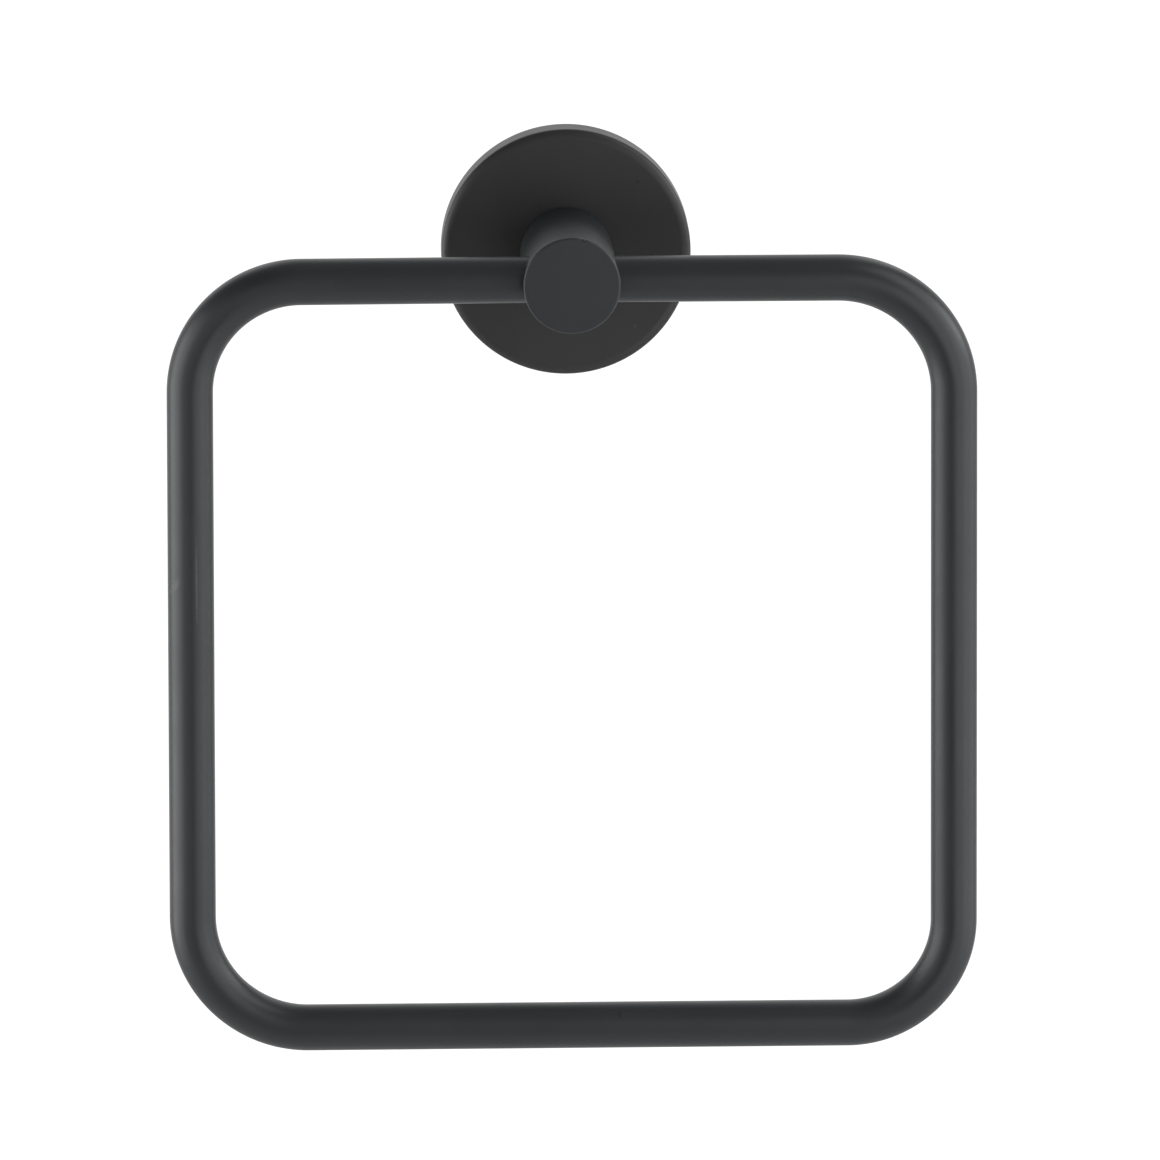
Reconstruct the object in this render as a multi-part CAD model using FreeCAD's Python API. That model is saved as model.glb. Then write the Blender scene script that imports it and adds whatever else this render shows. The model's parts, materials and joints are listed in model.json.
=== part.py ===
import FreeCAD, Part
import math
import os

from FreeCAD import Vector

# Towel ring for a wall: a turned post on a round rosette, with a square ring of bent round bar.
# Millimetres. The wall is the plane y = 0 and the ring stands in front of it, towards -Y.
# The origin is the centre of the rosette's back, +Z is up, and +X is to the right from the front.

# Ring: one bent bar
ring_width = 165.0  # between the centrelines of the side bars
ring_height = 165.0  # between the centrelines of the top and bottom bars
bar_diameter = 10.0
bend_radius = 24.0  # of the bar's centreline at each corner
bar_to_wall = 37.3  # from the wall to the axis that the ring swings about

# Rosette: the round cover, hollow behind
rosette_diameter = 54.0
rosette_depth = 7.3
rosette_front = 2.2  # thickness of the front wall
rosette_rim = 3.2  # thickness of the rim
rosette_edge_radius = 1.8  # rounding of the front edge
rosette_edge_flats = 3  # narrow flats that make up the rounding

# Post: turned, and a little wider at its front than at the rosette
post_front_diameter = 21.0
post_root_diameter = 20.0
post_reach = 45.0  # from the wall to the post's front face
post_edge_chamfer = 0.4
spigot_diameter = 12.0
spigot_flats = 9.6  # across the two flats that keep the post from turning
spigot_short = 0.2  # the spigot ends this far inside the rosette's front wall
spigot_clearance = 0.05
socket_web = 3.0  # left between the two sockets
socket_clearance = 0.08  # round the bar
socket_mouth_chamfer = 0.3
end_play = 0.3  # between each end of the ring and the web

# Screw and washer that hold the post on the rosette
screw_diameter = 6.0
screw_length = 12.0  # under the head
screw_head_diameter = 10.5
screw_head_height = 3.0
screw_hex = 4.0  # across flats
screw_hex_depth = 1.8
thread_clearance = 0.08  # round a screw in its own thread
thread_run_out = 4.0  # the hole goes this much deeper than the screw
washer_diameter = 16.0
washer_thickness = 1.0
washer_hole_clearance = 0.2

# Bracket on the wall, inside the rosette
bracket_clearance = 0.3  # between the bracket's widest edge and the inside of the rosette's rim
bracket_depth = 4.2
bracket_undercut = 2.4  # the edge is narrower by this much at the wall
bracket_screw_hole = 4.6  # the two holes lie midway between the centre hole and the edge
bracket_recess = 8.6  # diameter of the flat-bottomed recess for a wall screw's head
bracket_recess_floor = 1.2  # left under the screw's head
bracket_centre_clearance = 1.5  # round the washer

# Grub screw that locks the rosette on the bracket
grub_diameter = 4.0
grub_length = 4.0
grub_to_wall = 2.4
grub_seat_clearance = 0.07  # between the point and the bracket's edge
grub_hex = 2.0
grub_hex_depth = 1.6
grub_tip_radius = 0.4  # of the flat at its cone point

cut_past = 1.0  # how far a cutting or joining solid runs past the face that it meets

# Sizes that follow from the ones above
bar_radius = bar_diameter / 2
rosette_radius = rosette_diameter / 2
rosette_inner_radius = rosette_radius - rosette_rim
hollow_depth = rosette_depth - rosette_front
spigot_end = hollow_depth + spigot_short
bracket_radius = rosette_inner_radius - bracket_clearance
bracket_centre_radius = washer_diameter / 2 + bracket_centre_clearance
bracket_screw_spacing = bracket_centre_radius + bracket_radius - bracket_undercut
head_seat = hollow_depth - washer_thickness  # distance from the wall to the face that the head bears on


def at(radius, to_wall):
    """A point of a turned profile: distance from the post's axis, and distance from the wall."""
    return Vector(radius, -to_wall, 0)


def outline(points):
    """A closed face whose corners are the given points."""
    return Part.Face(Part.makePolygon([*points, points[0]]))


def turned(face):
    """A profile turned about the post's axis."""
    return face.revolve(Vector(0, 0, 0), Vector(0, 1, 0), 360)


def hexagon(across_flats, centre, along, depth):
    """A six-sided prism that starts at centre and runs along the given direction."""
    corner = across_flats / 2 / math.cos(math.radians(30))
    turn = FreeCAD.Rotation(Vector(0, 0, 1), along)
    points = []
    for i in range(7):
        a = math.radians(60 * i)
        points.append(centre + turn.multVec(Vector(corner * math.cos(a), corner * math.sin(a), 0)))
    return Part.Face(Part.makePolygon(points)).extrude(along * depth)


def rounded_path(points, radius):
    """A wire through the points, with an arc of the given radius at each right-angled corner."""
    edges = []
    last = points[0]
    for before, corner, after in zip(points, points[1:], points[2:]):
        inward = (corner - before).normalize()
        outward = (after - corner).normalize()
        centre = corner + (outward - inward) * radius
        start = corner - inward * radius
        middle = centre + (corner - centre).normalize() * radius
        end = corner + outward * radius
        edges.append(Part.LineSegment(last, start).toShape())
        edges.append(Part.Arc(start, middle, end).toShape())
        last = end
    edges.append(Part.LineSegment(last, points[-1]).toShape())
    return Part.Wire(edges)


def make_ring():
    right = ring_width / 2
    end_x = socket_web / 2 + end_play
    low = -ring_height
    corners = [(end_x, 0), (right, 0), (right, low), (-right, low), (-right, 0), (-end_x, 0)]
    path = rounded_path([Vector(x, -bar_to_wall, z) for x, z in corners], bend_radius)
    start = Vector(end_x, -bar_to_wall, 0)
    section = Part.Face(Part.Wire(Part.makeCircle(bar_radius, start, Vector(1, 0, 0))))
    ring = path.makePipe(section)
    print("ring: volume over section times length", round(ring.Volume / (section.Area * path.Length), 6))
    return ring


def rosette_edge():
    """Points round the rosette's front edge, from its side to its front face."""
    points = []
    for i in range(rosette_edge_flats + 1):
        a = math.pi / 2 * i / rosette_edge_flats
        inward = rosette_edge_radius * (1 - math.cos(a))
        backward = rosette_edge_radius * (1 - math.sin(a))
        points.append(at(rosette_radius - inward, rosette_depth - backward))
    return points


def make_rosette():
    cup = turned(outline([
        at(rosette_inner_radius, 0),
        at(rosette_radius, 0),
        *rosette_edge(),
        at(0, rosette_depth),
        at(0, hollow_depth),
        at(rosette_inner_radius, hollow_depth),
    ]))
    key_hole = spigot_bar(spigot_diameter / 2 + spigot_clearance, spigot_flats + 2 * spigot_clearance,
                          hollow_depth - cut_past, rosette_depth + cut_past)
    grub_hole = Part.makeCylinder(grub_diameter / 2 + thread_clearance, rosette_rim + 2 * cut_past,
                                  Vector(0, -grub_to_wall, -rosette_radius - cut_past), Vector(0, 0, 1))
    return cup.cut(key_hole).cut(grub_hole)


def spigot_bar(radius, flats, start, end):
    """A round bar with two level flats, along the post's axis, between two distances from the wall."""
    bar = Part.makeCylinder(radius, end - start, Vector(0, -start, 0), Vector(0, -1, 0))
    between_flats = Part.makeBox(2 * radius, end - start, flats, Vector(-radius, -end, -flats / 2))
    return bar.common(between_flats)


def make_post():
    front_r = post_front_diameter / 2
    root_r = post_root_diameter / 2
    body = turned(outline([
        at(0, rosette_depth),
        at(root_r, rosette_depth),
        at(front_r, post_reach - post_edge_chamfer),
        at(front_r - post_edge_chamfer, post_reach),
        at(0, post_reach),
    ]))
    body = body.fuse(spigot_bar(spigot_diameter / 2, spigot_flats, spigot_end, rosette_depth + cut_past))
    body = body.cut(post_sockets()).removeSplitter()
    body = chamfer_socket_mouths(body)
    return body.cut(post_thread_hole())


def post_sockets():
    """The two blind holes for the ring's ends, one from each side, with the web left between them."""
    length = max(post_front_diameter, post_root_diameter) / 2
    radius = bar_radius + socket_clearance
    right = Part.makeCylinder(radius, length, Vector(socket_web / 2, -bar_to_wall, 0), Vector(1, 0, 0))
    left = Part.makeCylinder(radius, length, Vector(-socket_web / 2, -bar_to_wall, 0), Vector(-1, 0, 0))
    return right.fuse(left)


def chamfer_socket_mouths(body):
    """Breaks the edge where each socket opens through the post's side."""
    radius = bar_radius + socket_clearance
    mouths = []
    for edge in body.Edges:
        box = edge.BoundBox
        clear_of_web = min(abs(box.XMin), abs(box.XMax)) > socket_web
        round_the_bar = abs(box.YMax + bar_to_wall - radius) < socket_clearance and box.ZLength > radius
        if clear_of_web and round_the_bar:
            mouths.append(edge)
    return body.makeChamfer(socket_mouth_chamfer, mouths)


def post_thread_hole():
    radius = screw_diameter / 2 + thread_clearance
    depth = head_seat + screw_length + thread_run_out - spigot_end
    return Part.makeCylinder(radius, depth, Vector(0, -spigot_end, 0), Vector(0, -1, 0))


def make_post_screw():
    r = screw_diameter / 2
    head_r = screw_head_diameter / 2
    top = head_seat - screw_head_height
    screw = turned(outline([
        at(0, top),
        at(head_r, top),
        at(head_r, head_seat),
        at(r, head_seat),
        at(r, head_seat + screw_length),
        at(0, head_seat + screw_length),
    ]))
    return screw.cut(hexagon(screw_hex, at(0, top), Vector(0, -1, 0), screw_hex_depth))


def make_post_washer():
    hole = screw_diameter / 2 + washer_hole_clearance
    return turned(outline([
        at(hole, head_seat),
        at(washer_diameter / 2, head_seat),
        at(washer_diameter / 2, hollow_depth),
        at(hole, hollow_depth),
    ]))


def bracket_edge(to_wall):
    """The bracket's radius at a distance from the wall. The edge leans out over the grub screw's point."""
    return bracket_radius - bracket_undercut * (1 - to_wall / bracket_depth)


def make_wall_bracket():
    plate = turned(outline([
        at(bracket_centre_radius, 0),
        at(bracket_edge(0), 0),
        at(bracket_edge(bracket_depth), bracket_depth),
        at(bracket_centre_radius, bracket_depth),
    ]))
    for side in (-1, 1):
        back = Vector(side * bracket_screw_spacing / 2, 0, 0)
        floor = back - Vector(0, bracket_recess_floor, 0)
        plate = plate.cut(Part.makeCylinder(bracket_screw_hole / 2, bracket_depth, back, Vector(0, -1, 0)))
        plate = plate.cut(Part.makeCylinder(bracket_recess / 2, bracket_depth, floor, Vector(0, -1, 0)))
    return plate


def make_grub_screw():
    r = grub_diameter / 2
    tip = bracket_edge(grub_to_wall + grub_tip_radius) + grub_seat_clearance
    shoulder = tip + r - grub_tip_radius
    head = tip + grub_length
    profile = Part.Face(Part.makePolygon([
        Vector(0, -grub_to_wall, -tip),
        Vector(grub_tip_radius, -grub_to_wall, -tip),
        Vector(r, -grub_to_wall, -shoulder),
        Vector(r, -grub_to_wall, -head),
        Vector(0, -grub_to_wall, -head),
        Vector(0, -grub_to_wall, -tip),
    ]))
    screw = profile.revolve(Vector(0, -grub_to_wall, 0), Vector(0, 0, 1), 360)
    return screw.cut(hexagon(grub_hex, Vector(0, -grub_to_wall, -head), Vector(0, 0, 1), grub_hex_depth))


nodes = {
    "rosette": make_rosette,
    "post": make_post,
    "ring": make_ring,
    "wall_bracket": make_wall_bracket,
    "post_screw": make_post_screw,
    "post_washer": make_post_washer,
    "grub_screw": make_grub_screw,
}

os.makedirs("parts", exist_ok=True)
for name, make in nodes.items():
    shape = make()
    print(name, shape.ShapeType, len(shape.Solids), "solid", "valid" if shape.isValid() else "NOT VALID",
          "volume", round(shape.Volume, 1))
    shape.exportStep("parts/" + name + ".step")
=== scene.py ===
import json
import math

import bmesh
import bpy
from mathutils import Matrix, Vector


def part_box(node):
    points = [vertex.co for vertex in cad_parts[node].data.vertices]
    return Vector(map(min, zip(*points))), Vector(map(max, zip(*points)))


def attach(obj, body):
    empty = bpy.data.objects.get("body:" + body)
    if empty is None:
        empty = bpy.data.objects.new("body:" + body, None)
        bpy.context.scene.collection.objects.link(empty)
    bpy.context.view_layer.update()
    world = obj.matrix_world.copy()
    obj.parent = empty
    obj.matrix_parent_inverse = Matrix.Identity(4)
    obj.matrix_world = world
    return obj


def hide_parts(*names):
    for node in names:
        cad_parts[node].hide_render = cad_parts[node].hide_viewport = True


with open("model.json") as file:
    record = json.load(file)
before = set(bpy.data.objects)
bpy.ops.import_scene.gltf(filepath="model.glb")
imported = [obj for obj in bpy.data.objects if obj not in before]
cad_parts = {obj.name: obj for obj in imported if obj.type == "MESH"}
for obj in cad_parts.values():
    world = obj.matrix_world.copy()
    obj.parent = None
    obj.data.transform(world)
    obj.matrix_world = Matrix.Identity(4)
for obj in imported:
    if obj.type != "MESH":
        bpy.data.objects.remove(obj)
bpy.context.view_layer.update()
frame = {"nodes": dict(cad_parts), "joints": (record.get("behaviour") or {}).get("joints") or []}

ringLow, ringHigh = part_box("ring")
postLow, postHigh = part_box("post")
coverLow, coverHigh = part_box("rosette")
swingAxis = Vector(frame["joints"][0]["pos_m"])
barRadius = (ringHigh.y - ringLow.y) / 2
print("frame is in, nodes:", ", ".join(sorted(frame["nodes"])))


# mesh helpers

def steps(start, end, count):
    return [start + (end - start) * i / count for i in range(count + 1)]


def addLoop(bm, points):
    return [bm.verts.new(p) for p in points]


def skin(bm, loopA, loopB):
    # quads between two closed loops with as many points
    for i in range(len(loopA)):
        j = (i + 1) % len(loopA)
        bm.faces.new((loopA[i], loopA[j], loopB[j], loopB[i]))


def chain(bm, last, loops):
    # skins each closed loop of points to the one before it, and gives the last one
    for points in loops:
        loop = addLoop(bm, points)
        skin(bm, last, loop)
        last = loop
    return last


def fan(bm, loop, middle):
    hub = bm.verts.new(middle)
    for i in range(len(loop)):
        bm.faces.new((loop[i], loop[(i + 1) % len(loop)], hub))


sharpAngle = 35              # degrees, edges above it stay sharp


def pieceFrom(bm, name, coat):
    bmesh.ops.recalc_face_normals(bm, faces=bm.faces)
    mesh = bpy.data.meshes.new(name)
    bm.to_mesh(mesh)
    bm.free()
    mesh.shade_smooth()
    mesh.set_sharp_from_angle(angle=math.radians(sharpAngle))
    piece = bpy.data.objects.new(name, mesh)
    bpy.context.scene.collection.objects.link(piece)
    mesh.materials.append(coat)
    even = piece.modifiers.new("evenNormals", "WEIGHTED_NORMAL")
    even.keep_sharp = True
    print("made", name, "with", len(mesh.polygons), "faces")
    return piece


# turned forms, about the post's axis

def turnedPoint(radius, toWall, turn):
    # turn 0 is to the right, a quarter turn is up
    return Vector((radius * math.cos(turn), -toWall, radius * math.sin(turn)))


def turnedPoints(radius, toWall, columns):
    return [turnedPoint(radius, toWall, 2 * math.pi * i / columns) for i in range(columns)]


def keyedPoints(radius, halfFlats, toWall, columns):
    # a round outline with a level flat above and below
    points = []
    for i in range(columns):
        turn = 2 * math.pi * i / columns
        toFlat = halfFlats / max(abs(math.sin(turn)), 0.001)
        points.append(turnedPoint(min(radius, toFlat), toWall, turn))
    return points


def roundedPoints(startRadius, startToWall, across, down, count, columns):
    # a quarter oval from a wall that runs forwards to a face that runs inwards
    loops = []
    for a in steps(0, math.pi / 2, count)[1:]:
        radius = startRadius - across * (1 - math.cos(a))
        loops.append(turnedPoints(radius, startToWall + down * math.sin(a), columns))
    return loops


def wallRows(stops, counts):
    # distances to the wall that run through the stops, with so many steps from each to the next
    rows = []
    for start, end, count in zip(stops, stops[1:], counts):
        rows = rows[:-1] + steps(start, end, count)
    return rows


def turnedWall(bm, rows, radiusAt, columns, holes):
    # A turned wall as a grid of rows and columns, with a square left out for each hole and filled
    # round its mouth. Gives the wall's first and last row.
    noFace = set()
    noPoint = set()
    for hole in holes:
        half = hole["halfColumns"]
        for i in range(hole["firstRow"], hole["lastRow"]):
            for j in range(-half, half):
                cell = (i, (hole["column"] + j) % columns)
                noFace.add(cell)
                if i > hole["firstRow"] and j > -half:
                    noPoint.add(cell)        # the square's own edge keeps its points
    grid = {}
    for i, toWall in enumerate(rows):
        for j in range(columns):
            if (i, j) not in noPoint:
                turn = 2 * math.pi * j / columns
                grid[(i, j)] = bm.verts.new(turnedPoint(radiusAt(toWall), toWall, turn))
    for i in range(len(rows) - 1):
        for j in range(columns):
            if (i, j) not in noFace:
                k = (j + 1) % columns
                bm.faces.new((grid[(i, j)], grid[(i, k)], grid[(i + 1, k)], grid[(i + 1, j)]))
    for hole in holes:
        fillHole(bm, hole, grid, radiusAt, columns)
    first = [grid[(0, j)] for j in range(columns)]
    last = [grid[(len(rows) - 1, j)] for j in range(columns)]
    return first, last


loopCrowding = 0.8           # below 1, the loops in a hole's square crowd towards its mouth


def fillHole(bm, hole, grid, radiusAt, columns):
    # Loops from the square to the mouth and over its rounded lip. The hole keeps its mouth's loop,
    # that loop's angles and the hole's own directions.
    low, high, half = hole["firstRow"], hole["lastRow"], hole["halfColumns"]
    around = [(low, j) for j in range(-half, half)]
    around += [(i, half) for i in range(low, high)]
    around += [(high, j) for j in range(half, -half, -1)]
    around += [(i, -half) for i in range(high, low, -1)]
    square = [grid[(i, (hole["column"] + j) % columns)] for i, j in around]
    turn = 2 * math.pi * hole["column"] / columns
    out = Vector((math.cos(turn), 0, math.sin(turn)))
    side = Vector((-math.sin(turn), 0, math.cos(turn)))
    flat = [(v.co.dot(side), -v.co.y) for v in square]
    angles = [math.atan2(across, toWall - hole["toWall"]) for across, toWall in flat]
    rim = hole["radius"] + hole["lip"]

    def wallPoint(across, toWall, sink=0.0):
        reach = math.sqrt(radiusAt(toWall) ** 2 - across ** 2) - sink
        return out * reach + side * across + Vector((0, -toWall, 0))

    def squareToRim(t):
        points = []
        for (across, toWall), angle in zip(flat, angles):
            rimAcross = rim * math.sin(angle)
            rimToWall = hole["toWall"] + rim * math.cos(angle)
            points.append(wallPoint(across + (rimAcross - across) * t,
                                    toWall + (rimToWall - toWall) * t))
        return points

    def overLip(a):
        reach = hole["radius"] + hole["lip"] * (1 - math.sin(a))
        sink = hole["lip"] * (1 - math.cos(a))
        return [wallPoint(reach * math.sin(b), hole["toWall"] + reach * math.cos(b), sink)
                for b in angles]

    shares = [(step / hole["loops"]) ** loopCrowding for step in range(1, hole["loops"] + 1)]
    last = chain(bm, square, [squareToRim(t) for t in shares])
    quarter = steps(0, math.pi / 2, hole["lipLoops"])[1:]
    hole["mouth"] = chain(bm, last, [overLip(a) for a in quarter])
    hole["angles"] = angles
    hole["out"] = out
    hole["side"] = side


def straightBore(bm, hole, ends):
    # carries a hole's mouth inwards, to each given distance from the post's axis
    radius = hole["radius"]
    loops = []
    for end in ends:
        loops.append([hole["out"] * end + hole["side"] * radius * math.sin(b)
                      - Vector((0, hole["toWall"] + radius * math.cos(b), 0))
                      for b in hole["angles"]])
    return chain(bm, hole["mouth"], loops)


# nodes of the finishes

def newFinish(name):
    finish = bpy.data.materials.new(name)
    finish.use_nodes = True
    tree = finish.node_tree
    return finish, tree, tree.nodes["Principled BSDF"]


def noiseNode(tree, place, noise):
    # noise is its cells per metre, its detail, and how strong that detail is
    scale, detail, roughness = noise
    node = tree.nodes.new("ShaderNodeTexNoise")
    node.inputs["Scale"].default_value = scale
    node.inputs["Detail"].default_value = detail
    node.inputs["Roughness"].default_value = roughness
    tree.links.new(place, node.inputs["Vector"])
    return node.outputs["Fac"]


def rangeNode(tree, value, low, high, fromLow=0.3, fromHigh=0.7):
    # the usual range that it starts from is the middle of a noise
    spread = tree.nodes.new("ShaderNodeMapRange")
    spread.inputs["From Min"].default_value = fromLow
    spread.inputs["From Max"].default_value = fromHigh
    spread.inputs["To Min"].default_value = low
    spread.inputs["To Max"].default_value = high
    tree.links.new(value, spread.inputs["Value"])
    return spread.outputs["Result"]


def mathNode(tree, kind, first, second):
    result = tree.nodes.new("ShaderNodeMath")
    result.operation = kind
    for socket, value in zip(result.inputs, (first, second)):
        if isinstance(value, (int, float)):
            socket.default_value = value
        else:
            tree.links.new(value, socket)
    return result.outputs["Value"]


def lengthNode(tree, vector):
    reach = tree.nodes.new("ShaderNodeVectorMath")
    reach.operation = "LENGTH"
    tree.links.new(vector, reach.inputs[0])
    return reach.outputs["Value"]


def mixColour(tree, factor, under, over):
    # under and over are colours, or an earlier mix
    mix = tree.nodes.new("ShaderNodeMix")
    mix.data_type = "RGBA"
    tree.links.new(factor, mix.inputs["Factor"])
    for socket, value in ((mix.inputs["A"], under), (mix.inputs["B"], over)):
        if isinstance(value, tuple):
            socket.default_value = value
        else:
            tree.links.new(value, socket)
    return mix.outputs["Result"]


def bumpNode(tree, place, noise, depth, under=None):
    bump = tree.nodes.new("ShaderNodeBump")
    bump.inputs["Distance"].default_value = depth
    tree.links.new(noiseNode(tree, place, noise), bump.inputs["Height"])
    if under:
        tree.links.new(under, bump.inputs["Normal"])
    return bump.outputs["Normal"]


# The black coat, a little different on each piece. Its noises are given as in noiseNode.

barCoatLook = {
    "dark": (0.0072, 0.0092, 0.0110, 1),
    "light": (0.0090, 0.0113, 0.0133, 1),
    "patches": (45, 3, 0.5),         # slow change from dark to light
    "rough": (0.37, 0.43),
    "wear": (103.5, 4, 0.5),         # change of roughness
    "wave": (420, 1, 0.5),           # the slow orange-peel wave
    "waveDepth": 0.000010,
    "grain": (2600, 2, 0.6),         # the powder's fine grain
    "grainDepth": 0.000006,
    "speckScale": 130,               # cells per metre
    "speckShare": 0.90,              # cells above this share carry a speck
    "speckSize": (0.0175, 0.035),    # full within the first share of a cell, gone beyond the second
    "speckTone": (0.030, 0.031, 0.032, 1),
}
postCoatLook = dict(barCoatLook, rough=(0.42, 0.48))
coverCoatLook = dict(postCoatLook, dark=(0.0092, 0.0092, 0.0092, 1),
                     light=(0.0113, 0.0112, 0.0113, 1))

# Small marks in the coat: place in metres, size as half lengths across, front to back and up,
# tilt in degrees round the line of sight.
ringMarks = [
    {"place": (-0.0858, -0.0410, -0.0659), "size": (0.0006, 0.0030, 0.0019), "tilt": 28,
     "tone": (0.045, 0.047, 0.049, 1), "rough": 0.50},
    {"place": (-0.0811, -0.0421, -0.0650), "size": (0.00024, 0.0020, 0.0085), "tilt": 0,
     "tone": (0.034, 0.036, 0.038, 1), "rough": 0.38},
    {"place": (0.0098, -0.0411, -0.1617), "size": (0.0005, 0.0020, 0.0008), "tilt": -8,
     "tone": (0.002, 0.002, 0.002, 1), "rough": 0.60},
]
postMarks = [
    {"place": (0.00225, -0.0449, 0.01020), "size": (0.00030, 0.00060, 0.00014), "tilt": 10,
     "tone": (0.14, 0.14, 0.14, 1), "rough": 0.50},
    {"place": (0.00275, -0.0449, 0.01000), "size": (0.00026, 0.00060, 0.00012), "tilt": 18,
     "tone": (0.10, 0.10, 0.10, 1), "rough": 0.50},
]
coverMarks = [
    {"place": (0.0149, -0.0073, -0.0164), "size": (0.00035, 0.0010, 0.00045), "tilt": 20,
     "tone": (0.022, 0.022, 0.021, 1), "rough": 0.45},
    {"place": (0.0155, -0.0073, 0.0155), "size": (0.00045, 0.0010, 0.0003), "tilt": 0,
     "tone": (0.003, 0.003, 0.003, 1), "rough": 0.55},
]
markEdge = {
    "noise": (2200, 3, 0.7),
    "ragged": 0.35,          # the noise moves a mark's edge in and out by this share of its size
    "full": 0.5,             # and the mark fades from this share to that one
    "gone": 1.3,
}


def speckNode(tree, place, look):
    # 1 in a few small dots, 0 elsewhere
    cells = tree.nodes.new("ShaderNodeTexVoronoi")
    cells.inputs["Scale"].default_value = look["speckScale"]
    tree.links.new(place, cells.inputs["Vector"])
    chosen = tree.nodes.new("ShaderNodeSeparateColor")
    tree.links.new(cells.outputs["Color"], chosen.inputs["Color"])
    picked = mathNode(tree, "GREATER_THAN", chosen.outputs["Red"], look["speckShare"])
    near = rangeNode(tree, cells.outputs["Distance"], 1, 0, *look["speckSize"])
    return mathNode(tree, "MULTIPLY", picked, near)


def markNode(tree, place, mark, broken):
    # 1 inside the mark, 0 outside it, with a ragged edge
    local = tree.nodes.new("ShaderNodeMapping")
    local.vector_type = "TEXTURE"
    local.inputs["Location"].default_value = mark["place"]
    local.inputs["Rotation"].default_value = (0, math.radians(mark["tilt"]), 0)
    local.inputs["Scale"].default_value = mark["size"]
    tree.links.new(place, local.inputs["Vector"])
    ragged = mathNode(tree, "ADD", lengthNode(tree, local.outputs["Vector"]), broken)
    return rangeNode(tree, ragged, 1, 0, markEdge["full"], markEdge["gone"])


def blackCoat(name, look, marks):
    finish, tree, shader = newFinish(name)
    place = tree.nodes.new("ShaderNodeTexCoord").outputs["Object"]
    slow = rangeNode(tree, noiseNode(tree, place, look["patches"]), 0, 1)
    tone = mixColour(tree, slow, look["dark"], look["light"])
    tone = mixColour(tree, speckNode(tree, place, look), tone, look["speckTone"])
    rough = rangeNode(tree, noiseNode(tree, place, look["wear"]), *look["rough"])
    edgeNoise = noiseNode(tree, place, markEdge["noise"])
    broken = rangeNode(tree, edgeNoise, -markEdge["ragged"], markEdge["ragged"])
    for mark in marks:
        inside = markNode(tree, place, mark, broken)
        tone = mixColour(tree, inside, tone, mark["tone"])
        rough = mixColour(tree, inside, rough, (mark["rough"],) * 3 + (1,))
    tree.links.new(tone, shader.inputs["Base Color"])
    tree.links.new(rough, shader.inputs["Roughness"])
    wave = bumpNode(tree, place, look["wave"], look["waveDepth"])
    grain = bumpNode(tree, place, look["grain"], look["grainDepth"], wave)
    tree.links.new(grain, shader.inputs["Normal"])
    return finish


# the ring, one bent bar

ringShape = {
    # bent by hand, so each corner is a little its own: top right, low right, low left, top left
    "bendRadii": (0.0252, 0.0230, 0.0250, 0.0240),
    "cornerShifts": ((0, -0.0003), (0, 0), (0, 0.0004), (0.0004, 0)),
    "endInPost": 0.0018,     # each end stops this far from the middle of the post
    "endBevel": 0.0003,
    "around": 96,
    "bendSteps": 40,
    "sideSteps": 60,
}


def ringPath():
    # points and directions along the bar's centreline, from its right end in the post to its left
    right = ringHigh.x - barRadius
    low = ringLow.z + barRadius
    top = swingAxis.z
    end = ringShape["endInPost"]
    corners = [(right, top), (right, low), (-right, low), (-right, top)]
    corners = [(x + dx, z + dz) for (x, z), (dx, dz) in zip(corners, ringShape["cornerShifts"])]
    stops = [Vector((x, swingAxis.y, z)) for x, z in [(end, top), *corners, (-end, top)]]
    path = []
    start = stops[0]
    for before, corner, after, bend in zip(stops, stops[1:], stops[2:], ringShape["bendRadii"]):
        inward = (corner - before).normalized()
        outward = (after - corner).normalized()
        turn = inward.angle(outward)
        arcStart = corner - inward * bend * math.tan(turn / 2)
        toCentre = (outward - inward * outward.dot(inward)).normalized()
        for t in steps(0, 1, ringShape["sideSteps"])[:-1]:
            path.append((start.lerp(arcStart, t), inward))
        centre = arcStart + toCentre * bend
        for t in steps(0, turn, ringShape["bendSteps"])[:-1]:
            place = centre - toCentre * bend * math.cos(t) + inward * bend * math.sin(t)
            path.append((place, inward * math.cos(t) + toCentre * math.sin(t)))
        start = corner + outward * bend * math.tan(turn / 2)
    last = (stops[-1] - start).normalized()
    for t in steps(0, 1, ringShape["sideSteps"]):
        path.append((start.lerp(stops[-1], t), last))
    return path


def barPoints(place, direction, radius):
    forward = Vector((0, -1, 0))
    acrossBar = direction.cross(forward)
    points = []
    for i in range(ringShape["around"]):
        a = 2 * math.pi * i / ringShape["around"]
        points.append(place + (forward * math.cos(a) + acrossBar * math.sin(a)) * radius)
    return points


def makeRing(coat):
    bevel = ringShape["endBevel"]
    path = ringPath()
    (start, startWay), (end, endWay) = path[0], path[-1]
    body = [(start + startWay * bevel, startWay), *path[1:-1], (end - endWay * bevel, endWay)]
    bm = bmesh.new()
    first = addLoop(bm, barPoints(start, startWay, barRadius - bevel))
    last = chain(bm, first, [barPoints(place, way, barRadius) for place, way in body])
    last = chain(bm, last, [barPoints(end, endWay, barRadius - bevel)])
    fan(bm, first, start)
    fan(bm, last, end)
    ring = pieceFrom(bm, "bent_bar_ring", coat)
    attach(ring, "swing_ring")
    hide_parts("ring")


# the post, turned, with a socket in each side

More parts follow.
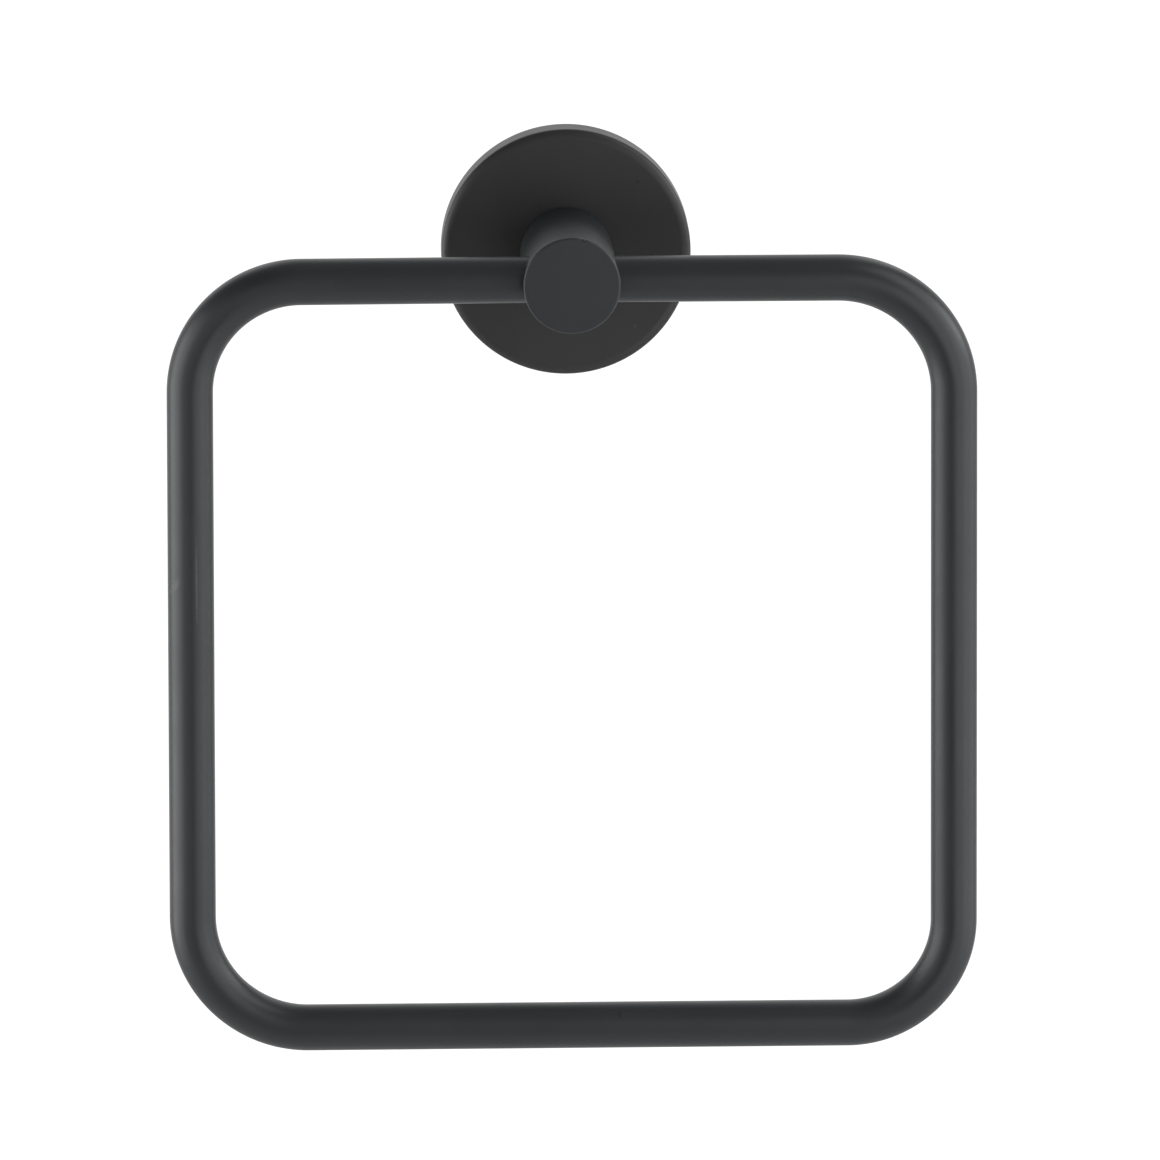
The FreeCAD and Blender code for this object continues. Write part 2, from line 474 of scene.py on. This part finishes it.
postShape = {
    "rootRadius": 0.010,
    "edgeRound": 0.0005,
    "edgeLoops": 8,
    "faceLoops": (0.0001, 0.0003, 0.0007),    # in from the edge, close together to keep it crisp
    "faceInset": 0.002,      # and from here in to the middle
    "faceSteps": 5,
    "socketGap": 0.00008,    # round the bar
    "socketWeb": 0.003,      # between the two sockets
    "socketLoops": (0.008, 0.006, 0.004),     # distances from the post's axis
    "mouthRound": 0.0003,
    "mouthSquare": 0.0062,   # half of the square of mesh round each mouth
    "mouthLoops": 6,
    "mouthLipLoops": 5,
    "rowCounts": (60, 60, 5),    # behind the mouths' squares, along them and in front of them
    "columns": 384,
    "spigotRadius": 0.006,
    "spigotHalfFlats": 0.0048,
    "spigotEnd": 0.0053,     # from the wall
    "threadRadius": 0.00308,
    "threadEnd": 0.0201,
}
chipShape = {
    "knocks": (              # in the post's front edge: turn in degrees, half length, depth
        (78.2, 0.00055, 0.00036),
        (74.4, 0.00045, 0.00026),
    ),
    "inset": 0.3,            # of the edge's rounding
    "steepness": 2,          # how soon its sides reach their depth
    "even": 0.6,             # the share of its depth that doesn't vary
    "ripples": (23000, 31000),    # across and front to back, radians per metre
}


def chipEdge(bm, middle, inward, reach, depth):
    even = chipShape["even"]
    rippleX, rippleY = chipShape["ripples"]
    for v in bm.verts:
        near = 1 - (v.co - middle).length / reach
        if near > 0:
            ragged = even + (1 - even) * math.sin(v.co.x * rippleX) * math.cos(v.co.y * rippleY)
            v.co += inward * depth * min(1, near * chipShape["steepness"]) * ragged


def makePost(coat):
    shape = postShape
    front = -postLow.y
    seat = -coverLow.y
    frontRadius = postHigh.x
    rootRadius = shape["rootRadius"]
    edge = shape["edgeRound"]
    columns = shape["columns"]
    slope = (frontRadius - rootRadius) / (front - edge - seat)

    def radiusAt(toWall):
        return rootRadius + slope * (toWall - seat)

    axis = -swingAxis.y
    square = shape["mouthSquare"]
    behind, along = shape["rowCounts"][:2]
    rows = wallRows((seat, axis - square, axis + square, front - edge), shape["rowCounts"])
    halfColumns = round(math.asin(square / radiusAt(axis)) / (2 * math.pi) * columns)
    sockets = []
    for column in (0, columns // 2):
        sockets.append({
            "firstRow": behind, "lastRow": behind + along,
            "column": column, "halfColumns": halfColumns,
            "toWall": axis, "radius": barRadius + shape["socketGap"], "lip": shape["mouthRound"],
            "loops": shape["mouthLoops"], "lipLoops": shape["mouthLipLoops"],
        })
    bm = bmesh.new()
    root, last = turnedWall(bm, rows, radiusAt, columns, sockets)
    last = chain(bm, last, roundedPoints(frontRadius, front - edge, edge, edge,
                                         shape["edgeLoops"], columns))
    faceRadii = [frontRadius - edge - inset for inset in shape["faceLoops"]]
    faceRadii += steps(frontRadius - shape["faceInset"], 0, shape["faceSteps"])[:-1]
    last = chain(bm, last, [turnedPoints(radius, front, columns) for radius in faceRadii])
    fan(bm, last, Vector((0, -front, 0)))
    bottomAt = shape["socketWeb"] / 2
    for socket in sockets:
        bottom = straightBore(bm, socket, [*shape["socketLoops"], bottomAt])
        fan(bm, bottom, socket["out"] * bottomAt + Vector((0, -axis, 0)))
    last = chain(bm, root, [
        keyedPoints(shape["spigotRadius"], shape["spigotHalfFlats"], seat, columns),
        keyedPoints(shape["spigotRadius"], shape["spigotHalfFlats"], shape["spigotEnd"], columns),
        turnedPoints(shape["threadRadius"], shape["spigotEnd"], columns),
        turnedPoints(shape["threadRadius"], shape["threadEnd"], columns),
    ])
    fan(bm, last, Vector((0, -shape["threadEnd"], 0)))
    inset = edge * chipShape["inset"]
    for turn, reach, depth in chipShape["knocks"]:
        middle = turnedPoint(frontRadius - inset, front - inset, math.radians(turn))
        inward = (Vector((0, -axis, 0)) - middle).normalized()
        chipEdge(bm, middle, inward, reach, depth)
    post = pieceFrom(bm, "turned_post", coat)
    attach(post, "wall_mount")
    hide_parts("post")


# the rosette, a turned cover, hollow behind

coverShape = {
    "innerRadius": 0.0238,
    "frontWall": 0.0022,
    "edgeAcross": 0.0021,    # the front edge rolls over further across the face than down the rim
    "edgeDown": 0.0013,
    "edgeLoops": 16,
    "faceEnd": 0.008,        # the face's round loops stop here, before the keyed hole
    "faceSteps": 8,
    "backLoops": (0.008, 0.014, 0.020),
    "keyRadius": 0.00605,
    "keyHalfFlats": 0.00485,
    "columns": 384,
    "rowCounts": (1, 18, 3),     # behind the grub hole's square, along it and in front of it
    "grubRadius": 0.00208,
    "grubToWall": 0.0024,
    "grubLip": 0.00015,
    "grubSquare": 0.00235,   # half of the square of mesh round it
    "grubHalfColumns": 6,
    "grubLoops": 3,
    "grubLipLoops": 3,
}


def makeCover(coat):
    shape = coverShape
    depth = -coverLow.y
    outerRadius = coverHigh.x
    hollow = depth - shape["frontWall"]
    columns = shape["columns"]
    bottomColumn = columns * 3 // 4
    toWall = shape["grubToWall"]
    square = shape["grubSquare"]
    behind, along = shape["rowCounts"][:2]

    def drilledWall(bm, radius, end):
        rows = wallRows((0, toWall - square, toWall + square, end), shape["rowCounts"])
        hole = {
            "firstRow": behind, "lastRow": behind + along,
            "column": bottomColumn, "halfColumns": shape["grubHalfColumns"],
            "toWall": toWall, "radius": shape["grubRadius"], "lip": shape["grubLip"],
            "loops": shape["grubLoops"], "lipLoops": shape["grubLipLoops"],
        }
        back, front = turnedWall(bm, rows, lambda d: radius, columns, [hole])
        return back, front, hole

    across, down = shape["edgeAcross"], shape["edgeDown"]
    bm = bmesh.new()
    outerBack, last, outerHole = drilledWall(bm, outerRadius, depth - down)
    last = chain(bm, last, roundedPoints(outerRadius, depth - down, across, down,
                                         shape["edgeLoops"], columns))
    faceRadii = steps(outerRadius - across, shape["faceEnd"], shape["faceSteps"])[1:]
    last = chain(bm, last, [turnedPoints(radius, depth, columns) for radius in faceRadii])
    last = chain(bm, last, [keyedPoints(shape["keyRadius"], shape["keyHalfFlats"], d, columns)
                            for d in (depth, hollow)])
    innerBack, innerFront, innerHole = drilledWall(bm, shape["innerRadius"], hollow)
    last = chain(bm, last, [turnedPoints(radius, hollow, columns) for radius in shape["backLoops"]])
    skin(bm, last, innerFront)
    skin(bm, innerBack, outerBack)
    skin(bm, outerHole["mouth"], innerHole["mouth"])
    cover = pieceFrom(bm, "rosette_cover", coat)
    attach(cover, "wall_mount")
    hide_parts("rosette")


makeRing(blackCoat("bar_coat", barCoatLook, ringMarks))
makePost(blackCoat("post_coat", postCoatLook, postMarks))
makeCover(blackCoat("cover_coat", coverCoatLook, coverMarks))


# hidden hardware keeps its own form, with a steel finish

steelLook = {
    "zinc": {"bright": (0.50, 0.52, 0.54, 1), "dull": (0.36, 0.38, 0.40, 1),
             "rough": (0.32, 0.50)},
    "plain": {"bright": (0.42, 0.42, 0.43, 1), "dull": (0.26, 0.26, 0.27, 1),
              "rough": (0.28, 0.42)},
    "patches": (260, 5, 0.6),    # change from bright to dull, on both
    "wear": (700, 3, 0.5),       # change of roughness, on both
}


def steel(name, look):
    finish, tree, shader = newFinish(name)
    place = tree.nodes.new("ShaderNodeTexCoord").outputs["Object"]
    patches = rangeNode(tree, noiseNode(tree, place, steelLook["patches"]), 0, 1)
    tone = mixColour(tree, patches, look["bright"], look["dull"])
    rough = rangeNode(tree, noiseNode(tree, place, steelLook["wear"]), *look["rough"])
    tree.links.new(tone, shader.inputs["Base Color"])
    tree.links.new(rough, shader.inputs["Roughness"])
    shader.inputs["Metallic"].default_value = 1.0
    return finish


zincPlate = steel("zinc_plated_steel", steelLook["zinc"])
plainSteel = steel("plain_steel", steelLook["plain"])
for name, finish in (("wall_bracket", zincPlate), ("post_washer", plainSteel),
                     ("post_screw", plainSteel), ("grub_screw", plainSteel)):
    for slot in frame["nodes"][name].material_slots:
        slot.material = finish
print("steel on the bracket, washer and screws")


# floor, light and camera

floorShape = {
    "height": -0.45,
    "radius": 0.75,
    "sides": 96,
    "colour": (0.85, 0.85, 0.85, 1),
    "rough": 0.9,
    "glow": 0.35,            # lifts the pale floor towards the white of the backdrop
    "fadeFrom": 0.40,        # from here to there it turns into the backdrop
    "fadeTo": 0.70,
    "behindFrom": 0.30,      # mirrored rays meet the lifted floor from here back
    "behindTo": 0.60,
}
roomLight = {
    "colour": (1, 1, 1, 1),
    "level": 0.20,
    "backdrop": 1.1,
    "behindFrom": 0.5,       # how far back a mirrored ray has to point to meet the backdrop
    "behindTo": 0.8,
}


def behindNode(tree, place, look):
    # 0 to 1 with the distance towards the back
    parts = tree.nodes.new("ShaderNodeSeparateXYZ")
    tree.links.new(place, parts.inputs["Vector"])
    return rangeNode(tree, parts.outputs["Y"], 0, 1, look["behindFrom"], look["behindTo"])


def backdropRays(tree, behind):
    # 1 for rays from the camera or through glass, and for mirrored rays as far as they point
    # behind the piece
    seen = tree.nodes.new("ShaderNodeLightPath").outputs
    mirrored = mathNode(tree, "MULTIPLY", seen["Is Glossy Ray"], behind)
    direct = mathNode(tree, "MAXIMUM", seen["Is Camera Ray"], seen["Is Transmission Ray"])
    return mathNode(tree, "MAXIMUM", direct, mirrored)


def mixShaders(tree, factor, first, second):
    mix = tree.nodes.new("ShaderNodeMixShader")
    tree.links.new(factor, mix.inputs["Fac"])
    tree.links.new(first, mix.inputs[1])
    tree.links.new(second, mix.inputs[2])
    return mix.outputs["Shader"]


def floorFinish():
    finish, tree, shader = newFinish("pale_floor")
    shader.inputs["Base Color"].default_value = floorShape["colour"]
    shader.inputs["Roughness"].default_value = floorShape["rough"]
    place = tree.nodes.new("ShaderNodeTexCoord").outputs["Object"]
    shown = backdropRays(tree, behindNode(tree, place, floorShape))
    glow = tree.nodes.new("ShaderNodeEmission")
    lift = mathNode(tree, "MULTIPLY", shown, floorShape["glow"])
    tree.links.new(lift, glow.inputs["Strength"])
    lifted = tree.nodes.new("ShaderNodeAddShader")
    tree.links.new(shader.outputs["BSDF"], lifted.inputs[0])
    tree.links.new(glow.outputs["Emission"], lifted.inputs[1])
    level = tree.nodes.new("ShaderNodeVectorMath")
    level.operation = "MULTIPLY"
    level.inputs[1].default_value = (1, 1, 0)
    tree.links.new(place, level.inputs[0])
    away = lengthNode(tree, level.outputs["Vector"])
    fade = rangeNode(tree, away, 0, 1, floorShape["fadeFrom"], floorShape["fadeTo"])
    white = tree.nodes.new("ShaderNodeEmission")
    surface = mixShaders(tree, mathNode(tree, "MULTIPLY", fade, shown),
                         lifted.outputs["Shader"], white.outputs["Emission"])
    tree.links.new(surface, tree.nodes["Material Output"].inputs["Surface"])
    return finish


def makeFloor():
    edge = []
    for i in range(floorShape["sides"]):
        turn = 2 * math.pi * i / floorShape["sides"]
        edge.append((floorShape["radius"] * math.cos(turn), floorShape["radius"] * math.sin(turn),
                     floorShape["height"]))
    mesh = bpy.data.meshes.new("floor")
    mesh.from_pydata(edge, [], [list(range(len(edge)))])
    mesh.materials.append(floorFinish())
    floor = bpy.data.objects.new("floor", mesh)
    bpy.context.scene.collection.objects.link(floor)


def setBackground(node, level):
    node.inputs["Color"].default_value = roomLight["colour"]
    node.inputs["Strength"].default_value = level
    return node.outputs["Background"]


def makeWorld():
    world = bpy.data.worlds.new("studio")
    bpy.context.scene.world = world
    world.use_nodes = True
    tree = world.node_tree
    room = setBackground(tree.nodes["Background"], roomLight["level"])
    backdrop = setBackground(tree.nodes.new("ShaderNodeBackground"), roomLight["backdrop"])
    heading = tree.nodes.new("ShaderNodeTexCoord").outputs["Generated"]
    shown = backdropRays(tree, behindNode(tree, heading, roomLight))
    surface = mixShaders(tree, shown, room, backdrop)
    tree.links.new(surface, tree.nodes["World Output"].inputs["Surface"])


# Soft panels round the piece. around: degrees from the camera's side to the right, up: degrees
# above level, away: metres from the middle, glow: brightness of the panel's face.
lamps = {
    "front_right": {"around": 22.5, "up": 0, "away": 0.8, "size": (0.42, 0.80), "glow": 1.14},
    "front_right_close": {"around": 30, "up": 0, "away": 0.4, "size": (0.21, 0.40), "glow": 0.53},
    "right_near_front": {"around": 52.5, "up": 0, "away": 0.8, "size": (0.42, 0.80), "glow": 1.13},
    "right": {"around": 67.5, "up": 0, "away": 0.8, "size": (0.42, 0.80), "glow": 1.44},
    "right_behind": {"around": 97.5, "up": 0, "away": 0.8, "size": (0.42, 0.80), "glow": 1.75},
    "right_above": {"around": 60, "up": 45, "away": 0.8, "size": (0.30, 0.55), "glow": 1.95},
    "right_raised": {"around": 92, "up": 24, "away": 0.8, "size": (0.42, 0.28), "glow": 3.15},
    "right_high": {"around": 90, "up": 45, "away": 0.8, "size": (0.30, 0.55), "glow": 1.10},
    "left_behind": {"around": 262.5, "up": 0, "away": 0.8, "size": (0.42, 0.80), "glow": 2.50},
    "left": {"around": 292.5, "up": 0, "away": 0.8, "size": (0.42, 0.80), "glow": 1.83},
    "left_close": {"around": 270, "up": 0, "away": 0.4, "size": (0.21, 0.40), "glow": 1.27},
    "left_near_front": {"around": 300, "up": 0, "away": 0.4, "size": (0.21, 0.40), "glow": 0.78},
    "front_left_close": {"around": 330, "up": 0, "away": 0.4, "size": (0.21, 0.40), "glow": 0.65},
    "behind_right_above": {"around": 150, "up": 45, "away": 0.8, "size": (0.30, 0.55), "glow": 0.80},
    "behind_left_above": {"around": 210, "up": 45, "away": 0.8, "size": (0.30, 0.55), "glow": 0.54},
    "front_above": {"around": 0, "up": 45, "away": 0.8, "size": (0.30, 0.55), "glow": 0.30},
    "top": {"around": 0, "up": 90, "away": 0.825, "size": (0.60, 0.60), "glow": 0.22},
}
lampTarget = Vector((0, -0.037, -0.075))


def makeLamps():
    for name, lamp in lamps.items():
        around = math.radians(lamp["around"])
        up = math.radians(lamp["up"])
        outward = Vector((math.sin(around) * math.cos(up), -math.cos(around) * math.cos(up),
                          math.sin(up)))
        data = bpy.data.lights.new(name, "AREA")
        data.shape = "RECTANGLE"
        data.size, data.size_y = lamp["size"]
        data.energy = lamp["glow"] * math.pi * data.size * data.size_y
        panel = bpy.data.objects.new(name, data)
        panel.location = lampTarget + outward * lamp["away"]
        panel.rotation_mode = "QUATERNION"
        panel.rotation_quaternion = (-outward).to_track_quat("-Z", "Y")
        panel.visible_camera = False
        bpy.context.scene.collection.objects.link(panel)


makeFloor()
makeWorld()
makeLamps()
print("floor, room light and lamps are in")

cameraView = {
    "place": (-0.12678, -3.87178, 0.75272),
    "down": 12.048,          # degrees below level
    "turn": 1.919,           # degrees to the right
    "roll": -0.212,
    "lens": 564.3,
    "sensor": 36,
    "near": 0.1,
    "far": 50,
}


def makeCamera():
    data = bpy.data.cameras.new("camera")
    data.lens = cameraView["lens"]
    data.sensor_width = cameraView["sensor"]
    data.clip_start = cameraView["near"]
    data.clip_end = cameraView["far"]
    camera = bpy.data.objects.new("camera", data)
    turn = Matrix.Rotation(-math.radians(cameraView["turn"]), 4, "Z")
    tilt = Matrix.Rotation(math.radians(90 - cameraView["down"]), 4, "X")
    roll = Matrix.Rotation(math.radians(cameraView["roll"]), 4, "Z")
    camera.matrix_world = Matrix.Translation(cameraView["place"]) @ turn @ tilt @ roll
    bpy.context.scene.collection.objects.link(camera)
    bpy.context.scene.camera = camera


makeCamera()
bpy.context.scene.view_settings.view_transform = "Standard"
print("camera is in")
